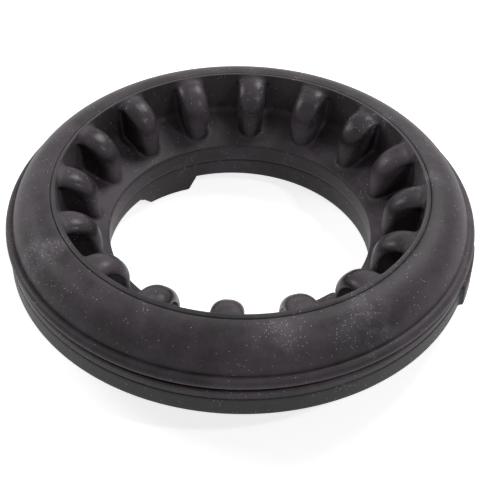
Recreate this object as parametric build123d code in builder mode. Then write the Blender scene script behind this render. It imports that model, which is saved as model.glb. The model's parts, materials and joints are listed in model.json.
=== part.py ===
"""Coil spring insulator: one moulded rubber ring that sits between a coil spring and the car body.

A rounded crown runs round a pocketed inner flange. Sixteen radial ribs stiffen the pockets. Below the
flat seating face a collar centres the ring, with a tab on its rim and a pad on the outer skirt.
Millimetres, +Z up. The origin is on the ring's axis, in the flat seating face.
"""
import os
from math import radians, tan

from build123d import *

# Overall sizes
OUTER_R = 82.0        # axis to the widest point, over the bead
HEIGHT = 26.8         # seating face to the top edge of the pocket wall

CROWN_WIDTH = 18.0    # widest point in to the pocket wall's top edge
FLANGE_WIDTH = 17.5   # pocket wall's top edge in to the bore

# Crown, from the pocket wall outwards
LAND_WIDTH = 1.7      # narrow sloping land inside the thin line
LAND_DROP = 0.7
LINE_WIDTH = 0.5      # thin line between land and dome
LINE_DEPTH = 0.4
DOME_DROP = 10.5      # thin line down to the top of the bead
DOME_RISE = 3.3       # bulge of the dome over its chord
WALL_EDGE = 0.3       # bevel

# Outer edge, from the bead down to the seating face
BEAD_RADIUS = 2.1
GROOVE_DEPTH = 1.0    # deeper than the bead's centre
GROOVE_HEIGHT = 0.8
LIP_IN = 0.9          # widest point to the lip
LIP_HEIGHT = 3.8
SKIRT_OUT = 0.1       # lip out to the skirt, a small ledge
LIP_TOP_EDGE = 0.8    # bevels
SKIRT_EDGE = 0.3

# Inner flange and the pocket wall
FLANGE_Z = 5.2        # top of the flange at the bore
FLOOR_SLOPE = 20.5    # degrees, rising outwards
WALL_DRAFT = 4.0      # degrees, pocket wall leaning outwards to the top
FLOOR_ROUND = 3.0
BORE_EDGE = 0.8       # bevel

# Ribs: a rounded cap over a tapering fin
RIB_COUNT = 16
RIB_FIRST = 86.6      # degrees, direction of the first rib
RIB_BELOW_EDGE = 1.1  # top of the ribs below the wall's top edge
CAP_WIDTH = 10.1
CAP_AT_WALL = 11.3    # the cap widens to this at the pocket wall
CAP_HEIGHT = 4.1      # crease under the cap up to the top of the rib
CAP_SHOULDER = 4.2    # rounding
CAP_UNDER = 0.3       # the cap's straight part below the crease
RIB_BEND = 7.3        # bend of the crease from the crest into the nose
FIN_TOP = 9.4         # width at the crease
FIN_FOOT = 5.6        # width under the flange's surface
FOOT_WIDTH = 6.2      # the cap narrows to this where it meets the flange
FOOT_HEIGHT = 2.6
FOOT_SHOULDER = 2.4
NOSE_OUT = 3.3        # bore to the foot of the nose
NOSE_LEAN = 4.4       # degrees, crease of the nose leaning in to its foot
RIB_INTO_WALL = 0.25
RIB_INTO_FLANGE = 1.5

# Centring collar below the seating face
STEP_DEPTH = 1.5      # step in the bore, below the seating face
STEP = 1.0            # the collar is wider inside than the bore
COLLAR_WALL = 4.6
COLLAR_ROOT = 1.5     # bevel between collar and seating face
COLLAR_LENGTH = 9.6   # on the axis
COLLAR_LEAN = 2.3     # degrees, the rim drops towards +X
RIM_EDGE = 0.6        # bevel

# Tab on the collar's rim
TAB_AT = 127.5        # degrees
TAB_WIDTH = 25.0      # along the rim
TAB_LENGTH = 4.6      # below the rim
TAB_WALL = 3.6
TAB_ROOT = 4.5        # part of the tab inside the collar's wall
TAB_STEEP_END = 2.6   # how far each end draws in
TAB_LONG_END = 4.8
TAB_RISE = 1.7        # lower edge rises towards the long end
TAB_CORNER = 1.2
TAB_EDGE = 0.5

# Pad on the skirt
PAD_AT = -15.5        # degrees
PAD_WIDTH = 22.0
PAD_OUT = 0.7         # beyond the widest point
PAD_HEIGHT = 8.8
PAD_ROUND = 0.5
PAD_INTO_SKIRT = 2.0

wall_top_r = OUTER_R - CROWN_WIDTH
bore_r = wall_top_r - FLANGE_WIDTH
line_r = wall_top_r + LAND_WIDTH
dome_z = HEIGHT - LAND_DROP
bead_r = OUTER_R - BEAD_RADIUS
bead_top = dome_z - DOME_DROP
bead_z = bead_top - BEAD_RADIUS
groove_r = bead_r - GROOVE_DEPTH
groove_top = bead_z - BEAD_RADIUS
groove_bottom = groove_top - GROOVE_HEIGHT
lip_r = OUTER_R - LIP_IN
lip_foot = groove_bottom - LIP_HEIGHT
skirt_r = lip_r + SKIRT_OUT
draft = tan(radians(WALL_DRAFT))
slope = tan(radians(FLOOR_SLOPE))
wall_foot_z = (FLANGE_Z + (wall_top_r - HEIGHT * draft - bore_r) * slope) / (1 - draft * slope)
wall_foot_r = wall_top_r - (HEIGHT - wall_foot_z) * draft
collar_in = bore_r + STEP
collar_out = collar_in + COLLAR_WALL
rim_low = -COLLAR_LENGTH - 2 * collar_out * tan(radians(COLLAR_LEAN))
between_ribs = RIB_FIRST + 180 / RIB_COUNT

# One rib, along +X, built on the line of its crease
crest_z = HEIGHT - RIB_BELOW_EDGE - CAP_HEIGHT
rib_low = FLANGE_Z - RIB_INTO_FLANGE
foot_r = bore_r + NOSE_OUT + FOOT_HEIGHT
bend_r = foot_r + (crest_z - rib_low) * tan(radians(NOSE_LEAN))
rib_end = wall_top_r + RIB_INTO_WALL

with BuildPart() as rib:
    with BuildLine(Plane.XZ) as crease:
        FilletPolyline((rib_end, crest_z), (bend_r, crest_z), (foot_r, rib_low), radius=RIB_BEND)
    nose, bend, crest = crease.edges().sort_by(Axis.Z)
    across = (0, -1, 0)
    for end, width in [(0, CAP_AT_WALL), (1, CAP_WIDTH)]:
        with BuildSketch(Plane(crest @ end, x_dir=across, z_dir=crest % end)) as cap:
            with Locations((0, -CAP_UNDER)):
                Rectangle(width, CAP_HEIGHT + CAP_UNDER, align=(Align.CENTER, Align.MIN))
            fillet(cap.vertices().group_by(Axis.Y)[-1], radius=CAP_SHOULDER)
    loft()
    with BuildSketch(Plane(crest @ 1, x_dir=across, z_dir=crest % 1)):
        add(cap.sketch_local)
    sweep(path=bend)
    with BuildSketch(Plane(nose @ 0, x_dir=across, z_dir=nose % 0)):
        add(cap.sketch_local)
    with BuildSketch(Plane(nose @ 1, x_dir=across, z_dir=nose % 0)) as foot:
        with Locations((0, -CAP_UNDER)):
            Rectangle(FOOT_WIDTH, FOOT_HEIGHT + CAP_UNDER, align=(Align.CENTER, Align.MIN))
        fillet(foot.vertices().group_by(Axis.Y)[-1], radius=FOOT_SHOULDER)
    loft()
    for z, start, width in [(rib_low, foot_r, FIN_FOOT), (crest_z, bend_r, FIN_TOP)]:
        with BuildSketch(Plane.XY.offset(z)):
            with Locations((start, 0)):
                Rectangle(rib_end - start, width, align=(Align.MIN, Align.CENTER))
    loft()

# Tab, a piece of a thinner collar, drawn in at both ends
tab_top = TAB_ROOT - COLLAR_LENGTH
tab_half = TAB_WIDTH / 2
tab_low = -COLLAR_LENGTH - TAB_LENGTH
with BuildPart() as tab:
    with BuildSketch(Plane.XY.offset(tab_top)):
        Circle(collar_in + TAB_WALL)
        Circle(collar_in, mode=Mode.SUBTRACT)
    extrude(amount=tab_low - tab_top)
    with BuildSketch(Plane.YZ.rotated((0, 0, TAB_AT))) as outline:
        with BuildLine():
            Polyline(
                (-tab_half, tab_top),
                (-tab_half, -COLLAR_LENGTH),
                (TAB_STEEP_END - tab_half, tab_low),
                (tab_half - TAB_LONG_END, tab_low + TAB_RISE),
                (tab_half, -COLLAR_LENGTH + TAB_RISE),
                (tab_half, tab_top),
                close=True,
            )
        make_face()
        fillet(outline.vertices().group_by(Axis.Y)[0], radius=TAB_CORNER)
    extrude(amount=2 * collar_out, mode=Mode.INTERSECT)
    fillet(tab.faces().sort_by(Axis.Z)[0].edges(), radius=TAB_EDGE)

# Pad, a raised piece of the skirt
with BuildPart() as pad:
    with BuildSketch(Plane.XY.rotated((0, 0, PAD_AT))):
        Circle(OUTER_R + PAD_OUT)
        Circle(skirt_r - PAD_INTO_SKIRT, mode=Mode.SUBTRACT)
        Rectangle(
            2 * OUTER_R, PAD_WIDTH, align=(Align.MIN, Align.CENTER), mode=Mode.INTERSECT
        )
    extrude(amount=PAD_HEIGHT)
    fillet(pad.faces().sort_by(SortBy.AREA)[-1].edges(), radius=PAD_ROUND)

with BuildPart() as spring_insulator:
    # Cross-section of the ring, turned once round the axis from between two ribs
    with BuildSketch(Plane.XZ.rotated((0, 0, between_ribs))) as section:
        with BuildLine():
            chord = Vector(bead_r - line_r, -DOME_DROP)
            rise = Vector(-chord.Y, chord.X).normalized() * DOME_RISE
            Polyline(
                (collar_in, rim_low),
                (collar_in, -STEP_DEPTH),
                (bore_r, -STEP_DEPTH),
                (bore_r, FLANGE_Z),
                (wall_foot_r, wall_foot_z),
                (wall_top_r, HEIGHT),
                (line_r, dome_z),
            )
            ThreePointArc(
                (line_r, dome_z),
                ((line_r + bead_r) / 2 + rise.X, dome_z - DOME_DROP / 2 + rise.Y),
                (bead_r, bead_top),
            )
            ThreePointArc((bead_r, bead_top), (OUTER_R, bead_z), (bead_r, groove_top))
            Polyline(
                (bead_r, groove_top),
                (groove_r, groove_top),
                (groove_r, groove_bottom),
                (lip_r, groove_bottom),
                (lip_r, lip_foot),
                (skirt_r, lip_foot),
                (skirt_r, 0),
                (collar_out, 0),
                (collar_out, rim_low),
                (collar_in, rim_low),
            )
        make_face()
        floor_corner = section.vertices().sort_by_distance((wall_foot_r, wall_foot_z))[0]
        fillet(floor_corner, radius=FLOOR_ROUND)
        for r, z, bevel in [
            (bore_r, FLANGE_Z, BORE_EDGE),
            (wall_top_r, HEIGHT, WALL_EDGE),
            (lip_r, groove_bottom, LIP_TOP_EDGE),
            (skirt_r, 0, SKIRT_EDGE),
            (collar_out, 0, COLLAR_ROOT),
        ]:
            chamfer(section.vertices().sort_by_distance((r, z))[0], length=bevel)
        with BuildLine():
            Polyline(
                (line_r - LINE_WIDTH / 2, dome_z + LAND_DROP),
                (line_r, dome_z - LINE_DEPTH),
                (line_r + LINE_WIDTH / 2, dome_z + LAND_DROP),
                close=True,
            )
        make_face(mode=Mode.SUBTRACT)
    revolve(axis=Axis.Z)

    # The collar's rim is cut on a lean, and the tab hangs below it
    rim = Plane.XY.offset(-COLLAR_LENGTH).rotated((0, COLLAR_LEAN, 0))
    with BuildSketch(rim):
        Circle(OUTER_R)
    extrude(amount=2 * rim_low, mode=Mode.SUBTRACT)
    chamfer(spring_insulator.faces().sort_by(Axis.Z)[0].edges(), length=RIM_EDGE)

    with PolarLocations(0, RIB_COUNT, start_angle=RIB_FIRST):
        add(rib.part)
    add(tab.part)
    add(pad.part)
spring_insulator.part.label = "spring_insulator"
os.makedirs("parts", exist_ok=True)
export_step(spring_insulator.part, "parts/spring_insulator.step")
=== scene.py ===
import json
import math

import bmesh
import bpy
from mathutils import Matrix, Vector, kdtree

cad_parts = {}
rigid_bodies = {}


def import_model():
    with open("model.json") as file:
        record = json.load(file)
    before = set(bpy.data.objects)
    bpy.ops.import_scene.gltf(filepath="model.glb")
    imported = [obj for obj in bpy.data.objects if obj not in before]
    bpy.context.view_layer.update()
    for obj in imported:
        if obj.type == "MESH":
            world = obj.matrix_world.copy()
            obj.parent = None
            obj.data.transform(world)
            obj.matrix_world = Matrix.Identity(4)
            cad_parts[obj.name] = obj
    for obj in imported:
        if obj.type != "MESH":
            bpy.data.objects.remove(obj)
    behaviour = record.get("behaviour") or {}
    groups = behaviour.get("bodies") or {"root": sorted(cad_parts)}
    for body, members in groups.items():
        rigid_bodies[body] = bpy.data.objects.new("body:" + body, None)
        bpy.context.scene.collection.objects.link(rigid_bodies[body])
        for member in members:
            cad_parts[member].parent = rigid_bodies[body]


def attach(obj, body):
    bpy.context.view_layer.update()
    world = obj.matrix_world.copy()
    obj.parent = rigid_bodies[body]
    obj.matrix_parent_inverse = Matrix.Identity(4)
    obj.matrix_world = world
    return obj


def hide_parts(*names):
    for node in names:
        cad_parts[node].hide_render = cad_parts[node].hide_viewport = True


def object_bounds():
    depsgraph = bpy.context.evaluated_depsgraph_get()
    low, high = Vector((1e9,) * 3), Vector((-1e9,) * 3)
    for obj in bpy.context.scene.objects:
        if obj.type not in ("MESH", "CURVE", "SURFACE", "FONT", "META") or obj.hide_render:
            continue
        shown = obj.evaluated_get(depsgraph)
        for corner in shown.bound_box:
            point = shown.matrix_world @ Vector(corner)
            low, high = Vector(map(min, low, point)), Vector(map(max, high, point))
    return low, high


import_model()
cad_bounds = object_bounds()

# Lengths are in millimetres while a piece is modelled, and its mesh is turned to metres at the end
MM = 0.001
NODE = "spring_insulator"

# The ring's section, radius and height over the seating face
OUTER_R = 82.0
BORE_R = 46.5
HEIGHT = 26.8
CROWN_WIDTH = 18.0
LAND_WIDTH = 1.7
LAND_DROP = 0.7
LINE_HALF = 0.25
LINE_DEPTH = 0.45
DOME_DROP = 10.5
DOME_RISE = 3.3
BEAD_R = 2.1
BEAD_LINE_IN = 0.55      # the dark line between dome and bead
BEAD_LINE_DROP = 0.3
GROOVE_DEPTH = 1.7
GROOVE_HEIGHT = 1.2
LIP_IN = 0.9
LIP_HEIGHT = 3.4
LIP_LINE_HALF = 0.25     # the dark line between lip and skirt
LIP_LINE_DEPTH = 0.5
SKIRT_OUT = 0.1
FLANGE_Z = 5.2
FLOOR_SLOPE = math.radians(20.5)
WALL_DRAFT = math.radians(4.0)
STEP_DEPTH = 1.5
STEP = 1.0
STEP_LINE_HEIGHT = 1.4   # the dark line under the step in the bore
STEP_LINE_DEPTH = 0.7
COLLAR_WALL = 4.6
COLLAR_LENGTH = 9.6
# The collar's rim hangs lower towards +X: its lean, how far down that starts and over what height it grows
COLLAR_LEAN = math.radians(2.3)
HANG_FROM = 3.0
HANG_OVER = COLLAR_LENGTH - 4.0
# The flange stands up a little at its bore edge between two of the front ribs
SWELL_AT = math.radians(-59.6)
SWELL_HALF = math.radians(14.0)
SWELL_RISE = 2.8
SWELL_R = 60.0        # where it ends towards the wall

wall_top_r = OUTER_R - CROWN_WIDTH
line_r = wall_top_r + LAND_WIDTH
dome_z = HEIGHT - LAND_DROP
bead_r = OUTER_R - BEAD_R
bead_top = dome_z - DOME_DROP
groove_top = bead_top - 2 * BEAD_R
groove_bottom = groove_top - GROOVE_HEIGHT
groove_r = bead_r - GROOVE_DEPTH
lip_r = OUTER_R - LIP_IN
lip_foot = groove_bottom - LIP_HEIGHT
skirt_r = lip_r + SKIRT_OUT
slope = math.tan(FLOOR_SLOPE)
draft = math.tan(WALL_DRAFT)
wall_foot_z = (FLANGE_Z + (wall_top_r - HEIGHT * draft - BORE_R) * slope) / (1 - draft * slope)
wall_foot_r = wall_top_r - (HEIGHT - wall_foot_z) * draft
collar_in = BORE_R + STEP
collar_out = collar_in + COLLAR_WALL

# Ribs: a rounded cap runs in from the wall, bends down and thins to its foot, over a tapering fin
RIB_COUNT = 16
RIB_FIRST = math.radians(86.6)
CAP_TOP = 25.8
RIB_BEND = 12.0       # outside of the bend
NOSE_OUT = 3.4
NOSE_LEAN = math.radians(1.5)
INTO_RING = 1.5
CAP_SHOULDER = 4.3
CAP_FLAT = 1.0
rib_end = wall_top_r + 0.25
rib_low = FLANGE_Z - INTO_RING
foot_r = BORE_R + NOSE_OUT
nose_turn = math.pi / 2 - NOSE_LEAN
bend_centre = Vector((foot_r + (CAP_TOP - rib_low) * math.tan(NOSE_LEAN) + RIB_BEND * math.tan(nose_turn / 2),
                      0, CAP_TOP - RIB_BEND))
# Share of the way from the wall over the bend (1.0) to the foot (2.0), half width and thickness of the cap
CAP_SIZES = [(0.0, 5.5, 3.0), (0.5, 5.2, 3.7), (1.0, 4.9, 4.2), (2.0, 2.9, 2.6)]
# In the wall itself the cap is wider and a little farther up and out
CAP_AT_WALL = 5.9
CAP_INTO_WALL = 0.3
# The fin's levels: share of the cap's way, and how much narrower the fin is than the cap on each side there
FIN_LEVELS = [(2.0, 0.1), (1.5, 0.1), (1.0, 0.1), (0.75, 0.12), (0.5, 0.18), (0.3, 0.3)]
FIN_INTO_CAP = 0.5
FIN_AT_WALL = 4.0     # half width at the wall, at the height below, and its draft
FIN_AT_WALL_Z = 10.4
FIN_DRAFT = 0.09

# Strength of the room's own light, how far the floor is lifted to white, and each lamp's place and width in
# metres and its power in watts
ROOM_LIGHT = 0.06
FLOOR_GLOW = 0.8
LAMPS = [
    ("back_softbox", (0.38, 0.50, 0.80), 0.42, 5.1),
    ("left_softbox", (-0.72, 0.26, 0.52), 0.40, 2.6),
    ("right_softbox", (0.58, -0.32, 0.66), 0.07, 1.2),
]

# The camera, from a fit to the photograph's circles: its turns, the fitted circle, how many of that circle's
# radii it stands back, to the right and up, and the picture's shift in pixels
CAMERA_TILT = math.radians(39.123)
CAMERA_ROLL = math.radians(1.080)
FITTED_R = 65.74
FITTED_Z = 25.9
CAMERA_OFF = (6.332, 0.001, 0.0706)
PHOTO_WIDTH = 480
CAMERA_SHIFT = (-1.54, -71.92)
FLOOR_HALF = 3.0      # metres

# Colours of the rubber, of what lies on it, and of a painted sheen on the land
DARK_RUBBER = "#322c30"
BLOOM = "#5f565d"
SKIRT_TINT = "#303631"
# Painted sheen: a lighter grey-green laid on the land at the crown's top edge
PAINTED_LAND_SHEEN = "#4a4c4a"
GRAIN_TINT = "#5f5a60"
TALC_HAZE = "#857f86"
TALC = "#c4c1c4"
# How far apart its patterns repeat
BLOOM_SIZE = 25.0
GRAIN_SIZE = 0.9
TALC_CELL = 0.65
DRIFT_SIZE = 12.0
# Where talc has settled, and how far each drift reaches
DRIFTS = [((40, -64, 23), 16), ((-64, -36, 22), 13), ((64, 4, 26), 9), ((50, 36, 24), 8), ((12, -72, 24), 11)]

# Rounding where pieces of the moulding meet: how far it reaches, and how often the mesh there is smoothed
ROOT_REACH = 1.1
ROOT_PASSES = 16
CREASE_REACH = 2.4
CREASE_PASSES = 20
CREASE_BELOW = 20.0   # higher up the crease between cap and fin stays crisp

# Tab and pad
TAB_AT = math.radians(127.5)
TAB_WIDTH = 25.0
TAB_LENGTH = 4.6
TAB_WALL = 3.6
TAB_ROOT = 4.5
TAB_STEEP_END = 2.6
TAB_LONG_END = 4.8
TAB_RISE = 1.7
TAB_ROUNDING = 0.5
PAD_AT = math.radians(-15.5)
PAD_WIDTH = 22.0
PAD_OUT = 0.7
PAD_HEIGHT = 8.8
PAD_INTO_SKIRT = 2.0
PAD_ROUNDING = 0.8

# Fineness of the meshes
RING_STEPS = 24 * RIB_COUNT
EDGE_LENGTH = 1.2
BEND_STEPS = 20
NOSE_STEPS = 14
PLATE_CUTS = 24
MERGE_DISTANCE = 0.03
SHARP_OVER = math.radians(38)
CAP_FACES, FIN_FACES = 2, 1    # material slots that mark the pieces until they are joined


def in_order(bm):
    """Puts a mesh's elements in order of place, so that what is made from it is the same on each run."""
    for parts in (bm.verts, bm.edges, bm.faces):
        ordered = sorted(parts, key=lambda part: part.co[:] if isinstance(part, bmesh.types.BMVert)
                         else sorted(vert.index for vert in part.verts))
        rank = {part: index for index, part in enumerate(ordered)}
        parts.sort(key=rank.get)
        parts.index_update()


def new_object(name, bm):
    """An object at the origin with this mesh, its faces turned outwards."""
    bmesh.ops.recalc_face_normals(bm, faces=bm.faces)
    in_order(bm)
    mesh = bpy.data.meshes.new(name)
    bm.to_mesh(mesh)
    bm.free()
    piece = bpy.data.objects.new(name, mesh)
    bpy.context.scene.collection.objects.link(piece)
    return piece


def loop_of(bm, points, plane=Matrix.Identity(4)):
    """A closed loop of vertices and edges through points given in a plane's own x and y."""
    verts = [bm.verts.new(plane @ Vector((x, y, 0))) for x, y in points]
    for a, b in zip(verts, verts[1:] + verts[:1]):
        bm.edges.new((a, b))
    return verts


def edges_of(bm, verts):
    """The edges of a loop of vertices."""
    loop = set(verts)
    return [edge for edge in bm.edges if loop.issuperset(edge.verts)]


def round_corner(bm, vert, radius, segments):
    """Rounds a corner of an open outline to a radius."""
    a, b = (edge.other_vert(vert).co - vert.co for edge in vert.link_edges)
    reach = radius / math.tan(a.angle(b) / 2)
    bmesh.ops.bevel(bm, geom=[vert], offset=reach, offset_type="OFFSET", segments=segments,
                    profile=0.5, affect="VERTICES", material=-1)


def cut_across(bm, axis, at):
    """Cuts the faces of a whole mesh in two at a place along an axis."""
    bmesh.ops.bisect_plane(bm, geom=bm.verts[:] + bm.edges[:] + bm.faces[:], plane_co=axis * at, plane_no=axis)


def ring_blank():
    """The ring without its ribs: one section, rounded at its corners and spun round the axis."""
    bm = bmesh.new()
    chord = Vector((bead_r - line_r, -DOME_DROP))
    half = chord.length / 2
    dome_r = (half ** 2 + DOME_RISE ** 2) / (2 * DOME_RISE)
    half_turn = math.asin(half / dome_r)
    outward = Vector((-chord.y, chord.x)).normalized()
    apex = Vector(((line_r + bead_r) / 2, dome_z - DOME_DROP / 2)) + outward * half * math.tan(half_turn)
    # Radius, height, rounding and its segments. A rounding of 0.985 or 0.998 of its corner's own radius leaves
    # a short straight edge between two roundings
    corners = [
        (collar_in, -COLLAR_LENGTH, 0.6, 3),
        (collar_in, -STEP_DEPTH - STEP_LINE_HEIGHT, 0.3, 2),
        (collar_in + STEP_LINE_DEPTH, -STEP_DEPTH - 0.3, 0.0, 0),
        (collar_in + STEP_LINE_DEPTH, -STEP_DEPTH, 0.0, 0),
        (BORE_R, -STEP_DEPTH, 0.12, 2),
        (BORE_R, FLANGE_Z, 1.0, 5),
        (wall_foot_r, wall_foot_z, 3.0, 8),
        (wall_top_r, HEIGHT, 0.35, 3),
        (line_r - LINE_HALF, dome_z + LAND_DROP * LINE_HALF / LAND_WIDTH, 0.12, 2),
        (line_r, dome_z - LINE_DEPTH, 0.0, 0),
        (line_r + LINE_HALF, dome_z + 0.03, 0.2, 2),
        (apex.x, apex.y, dome_r * 0.985, 26),
        (bead_r - BEAD_LINE_IN, bead_top - BEAD_LINE_DROP, 0.0, 0),
        (OUTER_R, bead_top, BEAD_R * 0.998, 9),
        (OUTER_R, groove_top, BEAD_R * 0.998, 9),
        (groove_r, groove_top, 0.25, 2),
        (groove_r, groove_bottom, 0.3, 2),
        (lip_r, groove_bottom, 0.9, 5),
        (lip_r, lip_foot + LIP_LINE_HALF, 0.25, 2),
        (lip_r - LIP_LINE_DEPTH, lip_foot, 0.0, 0),
        (skirt_r, lip_foot - LIP_LINE_HALF, 0.2, 2),
        (skirt_r, 0, 0.35, 3),
        (collar_out, 0, 1.5, 5),
        (collar_out, -COLLAR_LENGTH, 0.6, 3),
    ]
    plane = Matrix.Rotation(RIB_FIRST + math.pi / RIB_COUNT, 4, "Z") @ Matrix.Rotation(math.pi / 2, 4, "X")
    verts = loop_of(bm, [corner[:2] for corner in corners], plane)
    for vert, (_, _, radius, segments) in zip(verts, corners):
        if radius:
            round_corner(bm, vert, radius, segments)
    long_edges = [edge for edge in bm.edges if edge.calc_length() > 2 * EDGE_LENGTH]
    for edge in long_edges:
        bmesh.ops.subdivide_edges(bm, edges=[edge], cuts=int(edge.calc_length() / EDGE_LENGTH))
    bmesh.ops.spin(bm, geom=bm.verts[:] + bm.edges[:], cent=(0, 0, 0), axis=(0, 0, 1), angle=math.tau,
                   steps=RING_STEPS, use_merge=True)
    bmesh.ops.remove_doubles(bm, verts=bm.verts, dist=0.0005)
    for vert in bm.verts:
        hang = min(max((-HANG_FROM - vert.co.z) / HANG_OVER, 0.0), 1.0)
        vert.co.z -= hang * vert.co.x * math.tan(COLLAR_LEAN)
        off = abs(math.atan2(vert.co.y, vert.co.x) - SWELL_AT) / SWELL_HALF
        inward = (SWELL_R - vert.co.xy.length) / (SWELL_R - BORE_R)
        if off < 1 and inward > 0 and vert.co.z > FLANGE_Z / 2:
            vert.co.z += SWELL_RISE * (1 - off ** 8) * math.sin(min(inward, 1) * math.pi / 2) ** 2
    return new_object("ring_blank", bm)


def rib_station(way):
    """A rib's place at a share of its way: point on its outer line, turn, half width, cap thickness."""
    low, high = next(pair for pair in zip(CAP_SIZES, CAP_SIZES[1:]) if way <= pair[1][0])
    part = (way - low[0]) / (high[0] - low[0])
    half = low[1] + (high[1] - low[1]) * part
    thick = low[2] + (high[2] - low[2]) * part
    turn = nose_turn * min(way, 1.0)
    point = bend_centre + RIB_BEND * Vector((-math.sin(turn), 0, math.cos(turn)))
    if way > 1.0:
        point = point.lerp(Vector((foot_r, 0, rib_low)), way - 1.0)
    return point, turn, half, thick


def cap():
    """One rib's cap along +X: an arched section that runs from the wall over the bend to the rib's foot."""
    bm = bmesh.new()
    base_half = CAP_FLAT / 2 + CAP_SHOULDER
    base_thick = CAP_SHOULDER + 0.2
    outline = [(base_half, -base_thick), (base_half, 0), (-base_half, 0), (-base_half, -base_thick)]
    across = Matrix.Rotation(math.pi / 2, 4, "Z") @ Matrix.Rotation(math.pi / 2, 4, "X")
    verts = loop_of(bm, outline, across)
    for vert, (radius, segments) in zip(verts, [(0.2, 3), (CAP_SHOULDER, 12), (CAP_SHOULDER, 12), (0.2, 3)]):
        round_corner(bm, vert, radius, segments)
    flat = [edge for edge in bm.edges if edge.calc_length() > CAP_FLAT * 0.9]
    bmesh.ops.subdivide_edges(bm, edges=flat, cuts=3)
    face = bmesh.ops.contextual_create(bm, geom=bm.edges[:])["faces"]
    stations = []
    start = Vector((rib_end + CAP_INTO_WALL, 0, CAP_TOP + CAP_INTO_WALL))
    line = [(start, 0.0, CAP_AT_WALL, CAP_SIZES[0][2])]
    line += [rib_station(step / BEND_STEPS) for step in range(BEND_STEPS)]
    line += [rib_station(1 + step / NOSE_STEPS) for step in range(NOSE_STEPS + 1)]
    for point, turn, half, thick in line:
        stations.append(Matrix.Translation(point) @ Matrix.Rotation(-turn, 4, "Y")
                        @ Matrix.Diagonal((1, half / base_half, thick / base_thick, 1)))
    bmesh.ops.transform(bm, matrix=stations[0], verts=bm.verts)
    for before, after in zip(stations, stations[1:]):
        grown = bmesh.ops.extrude_face_region(bm, geom=face)["geom"]
        bmesh.ops.delete(bm, geom=[f for f in face if len(f.edges[0].link_faces) > 2], context="FACES_ONLY")
        face = [g for g in grown if isinstance(g, bmesh.types.BMFace)]
        bmesh.ops.transform(bm, matrix=after @ before.inverted(),
                            verts=[g for g in grown if isinstance(g, bmesh.types.BMVert)])
    return bm


def fin():
    """The fin under a cap along +X, nearly flush with its nose and tapering down to the floor."""
    bm = bmesh.new()
    rims = []
    for way, inset in FIN_LEVELS:
        point, turn, half, thick = rib_station(way)
        front = point + Vector((math.sin(turn), 0, -math.cos(turn))) * (thick - FIN_INTO_CAP)
        wall_half = FIN_AT_WALL + (front.z - FIN_AT_WALL_Z) * FIN_DRAFT
        corners = [(front.x, inset - half), (rib_end, -wall_half), (rib_end, wall_half), (front.x, half - inset)]
        rims.append(edges_of(bm, loop_of(bm, corners, Matrix.Translation((0, 0, front.z)))))
    for low, high in zip(rims, rims[1:]):
        bmesh.ops.bridge_loops(bm, edges=low + high)
    for rim in (rims[0], rims[-1]):
        bmesh.ops.contextual_create(bm, geom=rim)
    for x in range(int(foot_r), int(rib_end) + 1):
        cut_across(bm, Vector((1, 0, 0)), x)
    for z in range(int(rib_low) + 1, int(CAP_TOP)):
        cut_across(bm, Vector((0, 0, 1)), z)
    return bm


def plate(outline, radius_in, radius_out, at, rounding):
    """A plate bent round the axis: an outline of widths, heights and roundings, wrapped at its inner radius."""
    bm = bmesh.new()
    upright = Matrix.Rotation(math.pi / 2, 4, "X")
    verts = loop_of(bm, [corner[:2] for corner in outline], upright)
    for vert, corner in zip(verts, outline):
        if corner[2]:
            round_corner(bm, vert, corner[2], 4)
    bmesh.ops.contextual_create(bm, geom=bm.edges[:])
    half = max(abs(corner[0]) for corner in outline)
    for cut in range(1, PLATE_CUTS):
        cut_across(bm, Vector((1, 0, 0)), half * (2 * cut / PLATE_CUTS - 1))
    inner = bm.faces[:]
    outer = bmesh.ops.extrude_face_region(bm, geom=inner, use_keep_orig=True)["geom"]
    bmesh.ops.translate(bm, verts=[g for g in outer if isinstance(g, bmesh.types.BMVert)],
                        vec=(0, radius_out - radius_in, 0))
    bmesh.ops.recalc_face_normals(bm, faces=bm.faces)
    # The outer face's rim, where faces meet at more than a radian
    rim = [e for e in bm.edges if len(e.link_faces) == 2 and e.calc_face_angle() > 1.0
           and min(v.co.y for v in e.verts) > (radius_out - radius_in) / 2]
    bmesh.ops.bevel(bm, geom=rim, offset=rounding, offset_type="OFFSET", segments=3, profile=0.5,
                    affect="EDGES", material=-1, clamp_overlap=True)
    for vert in bm.verts:
        turn = at - vert.co.x / radius_in
        radius = radius_in + vert.co.y
        vert.co = (radius * math.cos(turn), radius * math.sin(turn), vert.co.z)
    return bm


def tab():
    """The tab that hangs from the collar's rim, steep at one end and long at the other."""
    half = TAB_WIDTH / 2
    top = TAB_ROOT - COLLAR_LENGTH
    bottom = -COLLAR_LENGTH - TAB_LENGTH
    outline = [
        (half, top, 0),
        (half, -COLLAR_LENGTH, 0.8),
        (half - TAB_STEEP_END, bottom, 1.2),
        (TAB_LONG_END - half, bottom + TAB_RISE, 1.2),
        (-half, -COLLAR_LENGTH + TAB_RISE, 0.8),
        (-half, top, 0),
    ]
    return plate(outline, collar_in, collar_in + TAB_WALL, TAB_AT, TAB_ROUNDING)


def pad():
    """The low pad on the skirt."""
    half = PAD_WIDTH / 2
    outline = [(x, z, PAD_ROUNDING) for x, z in [(half, 0), (-half, 0), (-half, PAD_HEIGHT), (half, PAD_HEIGHT)]]
    return plate(outline, skirt_r - PAD_INTO_SKIRT, OUTER_R + PAD_OUT, PAD_AT, PAD_ROUNDING)


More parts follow.
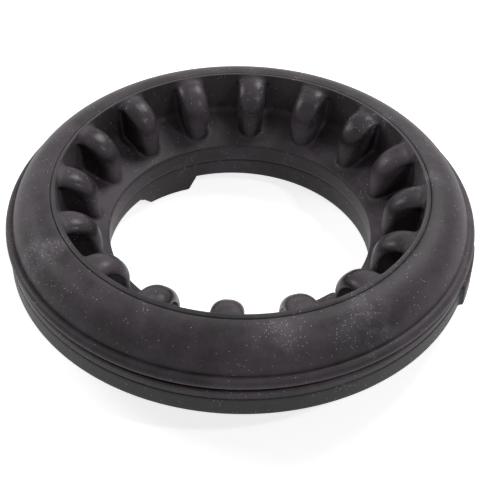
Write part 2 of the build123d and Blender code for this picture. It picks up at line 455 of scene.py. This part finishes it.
def moulding():
    """Ring, ribs, tab and pad united into one closed mesh, rounded where they meet."""
    ring = ring_blank()
    added = bpy.data.collections.new("added")
    for index in range(RIB_COUNT):
        turn = Matrix.Rotation(RIB_FIRST + index * math.tau / RIB_COUNT, 4, "Z")
        for name, shape in [("cap", cap()), ("fin", fin())]:
            bmesh.ops.transform(shape, matrix=turn, verts=shape.verts)
            added.objects.link(new_object(f"{name}_{index}", shape))
    added.objects.link(new_object("tab", tab()))
    added.objects.link(new_object("pad", pad()))
    for piece in [ring, *added.objects]:
        for _ in range(3):
            piece.data.materials.append(None)
        mark = 0 if piece is ring else CAP_FACES if piece.name.startswith("cap") else FIN_FACES
        for polygon in piece.data.polygons:
            polygon.material_index = mark
    union = ring.modifiers.new("union", "BOOLEAN")
    union.operation = "UNION"
    union.solver = "EXACT"
    union.operand_type = "COLLECTION"
    union.collection = added
    depsgraph = bpy.context.evaluated_depsgraph_get()
    mesh = bpy.data.meshes.new_from_object(ring.evaluated_get(depsgraph))
    for piece in list(added.objects):
        bpy.data.objects.remove(piece)
    bpy.data.collections.remove(added)
    bpy.data.objects.remove(ring)
    bm = bmesh.new()
    bm.from_mesh(mesh)
    in_order(bm)
    bm.to_mesh(mesh)
    bm.clear()
    bm.from_mesh(mesh)
    bpy.data.meshes.remove(mesh)
    bmesh.ops.remove_doubles(bm, verts=bm.verts, dist=MERGE_DISTANCE)

    def marks(edge):
        """The pieces whose faces meet at an edge."""
        return {face.material_index for face in edge.link_faces}

    roots = [e for e in bm.edges if len(marks(e)) > 1 and 0 in marks(e)]
    round_inside(bm, roots, ROOT_REACH, ROOT_PASSES)
    nose_creases = [e for e in bm.edges
                    if marks(e) == {CAP_FACES, FIN_FACES} and e.verts[0].co.z < CREASE_BELOW]
    round_inside(bm, nose_creases, CREASE_REACH, CREASE_PASSES)
    for face in bm.faces:
        face.material_index = 0
        face.smooth = True
    for edge in bm.edges:
        edge.smooth = edge.calc_face_angle(0.0) < SHARP_OVER
    return bm


def round_inside(bm, corners, reach, passes):
    """Rounds the inner corner along some edges by smoothing the mesh beside them, only ever outwards."""
    bm.verts.index_update()
    bm.normal_update()
    tree = kdtree.KDTree(len(corners) * 3)
    for index, edge in enumerate(corners):
        a, b = edge.verts
        for part, co in enumerate((a.co, (a.co + b.co) / 2, b.co)):
            tree.insert(co, index * 3 + part)
    tree.balance()
    near = {v: max(0.0, 1 - tree.find(v.co)[2] / reach) for v in bm.verts}
    inner = [v for v, weight in near.items() if weight > 0]
    outward = {v: v.normal.copy() for v in inner}
    ends = {v: sorted((e.other_vert(v) for e in v.link_edges), key=lambda end: end.index) for v in inner}
    for _ in range(passes):
        moved = []
        for vert in inner:
            middle = sum((end.co for end in ends[vert]), Vector()) / len(ends[vert])
            step = (middle - vert.co) * 0.5 * near[vert]
            sunk = min(0.0, step.dot(outward[vert]))
            moved.append(vert.co + step - outward[vert] * sunk)
        for vert, co in zip(inner, moved):
            vert.co = co


def linear(code):
    """An sRGB hex colour as the linear values that a shader takes."""
    parts = [int(code[i:i + 2], 16) / 255 for i in (1, 3, 5)]
    return tuple(c / 12.92 if c <= 0.04045 else ((c + 0.055) / 1.055) ** 2.4 for c in parts) + (1.0,)


def add_node(tree, kind, settings=None, **inputs):
    """Adds a shader node. Settings are its own properties; inputs are values, or sockets to link."""
    node = tree.nodes.new(kind)
    for name, value in (settings or {}).items():
        setattr(node, name, value)
    for name, value in inputs.items():
        key = int(name[1:]) if name[0] == "i" and name[1:].isdigit() else name.replace("_", " ")
        if isinstance(value, bpy.types.NodeSocket):
            tree.links.new(value, node.inputs[key])
        else:
            node.inputs[key].default_value = value
    return node


def calc(tree, operation, a, b):
    """What a maths operation makes of two values or sockets."""
    return add_node(tree, "ShaderNodeMath", {"operation": operation}, i0=a, i1=b).outputs["Value"]


def moulded_rubber():
    """Moulded rubber: near-black and matt, with a grey bloom, white specks of talc and a soft gloss on curves."""
    material = bpy.data.materials.new("moulded_rubber")
    material.use_nodes = True
    tree = material.node_tree
    shader = tree.nodes["Principled BSDF"]
    place = add_node(tree, "ShaderNodeTexCoord").outputs["Object"]
    height = add_node(tree, "ShaderNodeSeparateXYZ", Vector=place).outputs["Z"]
    flat = add_node(tree, "ShaderNodeVectorMath", {"operation": "MULTIPLY"}, i0=place, i1=(1, 1, 0))
    length = add_node(tree, "ShaderNodeVectorMath", {"operation": "LENGTH"}, i0=flat.outputs["Vector"])
    radius = length.outputs["Value"]

    def noise(size, detail, roughness):
        """A noise whose patches are a number of millimetres across."""
        return add_node(tree, "ShaderNodeTexNoise", Vector=place, Scale=1 / (size * MM), Detail=detail,
                        Roughness=roughness).outputs["Fac"]

    def ramp(value, low, high, to_low=0.0, to_high=1.0):
        """Takes a value between two limits evenly to between two others."""
        return add_node(tree, "ShaderNodeMapRange", Value=value, From_Min=low, From_Max=high, To_Min=to_low,
                        To_Max=to_high).outputs["Result"]

    def band(value, low, high):
        """Rises from 0 to 1 between two values in millimetres, or falls where low is over high."""
        return add_node(tree, "ShaderNodeMapRange", {"interpolation_type": "SMOOTHSTEP"}, Value=value,
                        From_Min=low * MM, From_Max=high * MM).outputs["Result"]

    def times(a, b):
        return calc(tree, "MULTIPLY", a, b)

    def mixed(amount, a, b):
        """A colour with an amount of another one, given in hex, mixed in."""
        return add_node(tree, "ShaderNodeMix", {"data_type": "RGBA"}, i0=amount, i6=a,
                        i7=linear(b)).outputs["Result"]

    # Bloom comes up in cloudy patches
    bloom = noise(BLOOM_SIZE, 6.0, 0.65)
    colour = mixed(ramp(bloom, 0.42, 0.70), linear(DARK_RUBBER), BLOOM)
    # The skirt is a little greener. The land beside the line gets a lighter grey-green, a painted sheen along the
    # crown's top edge
    skirt = times(band(height, 8.6, 7.6), band(radius, 70, 74))
    land_sheen = times(band(radius, 63.2, 64.2), band(radius, 68.5, 65.5))
    colour = mixed(times(skirt, 0.6), colour, SKIRT_TINT)
    colour = mixed(times(land_sheen, 0.35), colour, PAINTED_LAND_SHEEN)
    # Grain of the mould's steel, drawn coarser than the real one so that it shows
    grain = noise(GRAIN_SIZE, 4.0, 0.6)
    colour = mixed(times(ramp(grain, 0.50, 0.80), 0.4), colour, GRAIN_TINT)
    # Talc: a grey haze and fine specks, thin all over, thick in the drifts where it has settled
    drift = noise(DRIFT_SIZE, 4.0, 0.7)
    reached = 0.0
    for centre, reach in DRIFTS:
        away = add_node(tree, "ShaderNodeVectorMath", {"operation": "DISTANCE"}, i0=place,
                        i1=Vector(centre) * MM).outputs["Value"]
        reached = calc(tree, "MAXIMUM", reached, band(away, reach, reach * 0.1))
    settled = times(reached, ramp(drift, 0.40, 0.62))
    colour = mixed(times(settled, 0.55), colour, TALC_HAZE)
    cells = add_node(tree, "ShaderNodeTexVoronoi", Vector=place, Scale=1 / (TALC_CELL * MM), Randomness=1.0)
    pick = add_node(tree, "ShaderNodeSeparateColor", Color=cells.outputs["Color"]).outputs["Red"]
    kept = calc(tree, "LESS_THAN", pick, calc(tree, "MAXIMUM", ramp(drift, 0.54, 0.76, 0.02, 0.45), settled))
    speck = times(ramp(cells.outputs["Distance"], 0.36, 0.12), kept)
    colour = mixed(times(speck, 0.9), colour, TALC)
    # The mould leaves the tops of the ribs smoother than the crown
    polish = times(times(band(radius, 63, 60), band(height, 15, 19)), 0.2)
    rough = calc(tree, "SUBTRACT", ramp(bloom, 0.3, 0.7, 0.40, 0.58), polish)
    bump = add_node(tree, "ShaderNodeBump", Strength=0.35, Distance=0.15 * MM, Height=grain)
    tree.links.new(colour, shader.inputs["Base Color"])
    tree.links.new(rough, shader.inputs["Roughness"])
    tree.links.new(bump.outputs["Normal"], shader.inputs["Normal"])
    shader.inputs["IOR"].default_value = 1.5
    shader.inputs["Specular IOR Level"].default_value = 0.22
    return material


def background_rays(tree):
    """1 for the rays that show the background: those of the camera, and of gloss and glass."""
    path = add_node(tree, "ShaderNodeLightPath").outputs
    through = calc(tree, "MAXIMUM", path["Is Glossy Ray"], path["Is Transmission Ray"])
    return calc(tree, "MAXIMUM", path["Is Camera Ray"], through)


def floor_material():
    """Matt white paper, a plain white ground that keeps a faint shadow of the ring."""
    material = bpy.data.materials.new("white_paper")
    material.use_nodes = True
    tree = material.node_tree
    shader = tree.nodes["Principled BSDF"]
    shader.inputs["Base Color"].default_value = linear("#f4f4f4")
    shader.inputs["Roughness"].default_value = 0.9
    shader.inputs["Emission Color"].default_value = (1, 1, 1, 1)
    glow = calc(tree, "MULTIPLY", background_rays(tree), FLOOR_GLOW)
    tree.links.new(glow, shader.inputs["Emission Strength"])
    return material


def lights():
    """A studio of white paper: soft lights behind and at the left, and a small one at the right for streaks."""
    world = bpy.data.worlds.new("studio")
    bpy.context.scene.world = world
    world.use_nodes = True
    tree = world.node_tree
    tree.nodes["Background"].inputs["Color"].default_value = (1, 1, 1, 1)
    level = add_node(tree, "ShaderNodeMapRange", Value=background_rays(tree), To_Min=ROOM_LIGHT, To_Max=1.0)
    tree.links.new(level.outputs["Result"], tree.nodes["Background"].inputs["Strength"])
    for name, place, size, power in LAMPS:
        lamp = bpy.data.lights.new(name, "AREA")
        lamp.size = size
        lamp.energy = power
        holder = bpy.data.objects.new(name, lamp)
        holder.location = place
        holder.rotation_euler = (-Vector(place)).to_track_quat("-Z", "Y").to_euler()
        bpy.context.scene.collection.objects.link(holder)


def camera():
    """The photograph's view, from a fit to the ring's circles."""
    forward = Vector((0, math.cos(CAMERA_TILT), -math.sin(CAMERA_TILT)))
    right = Vector((1, 0, 0))
    up = Vector((0, math.sin(CAMERA_TILT), math.cos(CAMERA_TILT)))
    away, aside, over = CAMERA_OFF
    place = Vector((0, 0, FITTED_Z * MM)) - FITTED_R * MM * (away * forward - aside * right - over * up)
    x_axis = math.cos(CAMERA_ROLL) * right + math.sin(CAMERA_ROLL) * up
    y_axis = math.cos(CAMERA_ROLL) * up - math.sin(CAMERA_ROLL) * right
    data = bpy.data.cameras.new("photo_view")
    data.sensor_width = 36.0
    data.lens = 90.0
    data.shift_x, data.shift_y = (shift / PHOTO_WIDTH for shift in CAMERA_SHIFT)
    holder = bpy.data.objects.new("photo_view", data)
    turned = Matrix((x_axis, y_axis, -forward)).transposed().to_4x4()
    holder.matrix_world = Matrix.Translation(place) @ turned
    bpy.context.scene.collection.objects.link(holder)
    bpy.context.scene.camera = holder


def floor():
    """A sheet of white paper at the height of the lowest point of the ring."""
    bm = bmesh.new()
    bmesh.ops.create_grid(bm, x_segments=1, y_segments=1, size=FLOOR_HALF,
                          matrix=Matrix.Translation((0, 0, cad_bounds[0][2])))
    piece = new_object("floor", bm)
    piece.data.materials.append(floor_material())


camera()
rubber = moulded_rubber()
shape = moulding()
bmesh.ops.scale(shape, vec=(MM, MM, MM), verts=shape.verts)
insulator = new_object("moulded_insulator", shape)
insulator.data.materials.append(rubber)
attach(insulator, "root")
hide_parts(NODE)
floor()
lights()
bpy.context.scene.view_settings.view_transform = "Standard"
print("triangles", sum(len(p.vertices) - 2 for p in insulator.data.polygons))
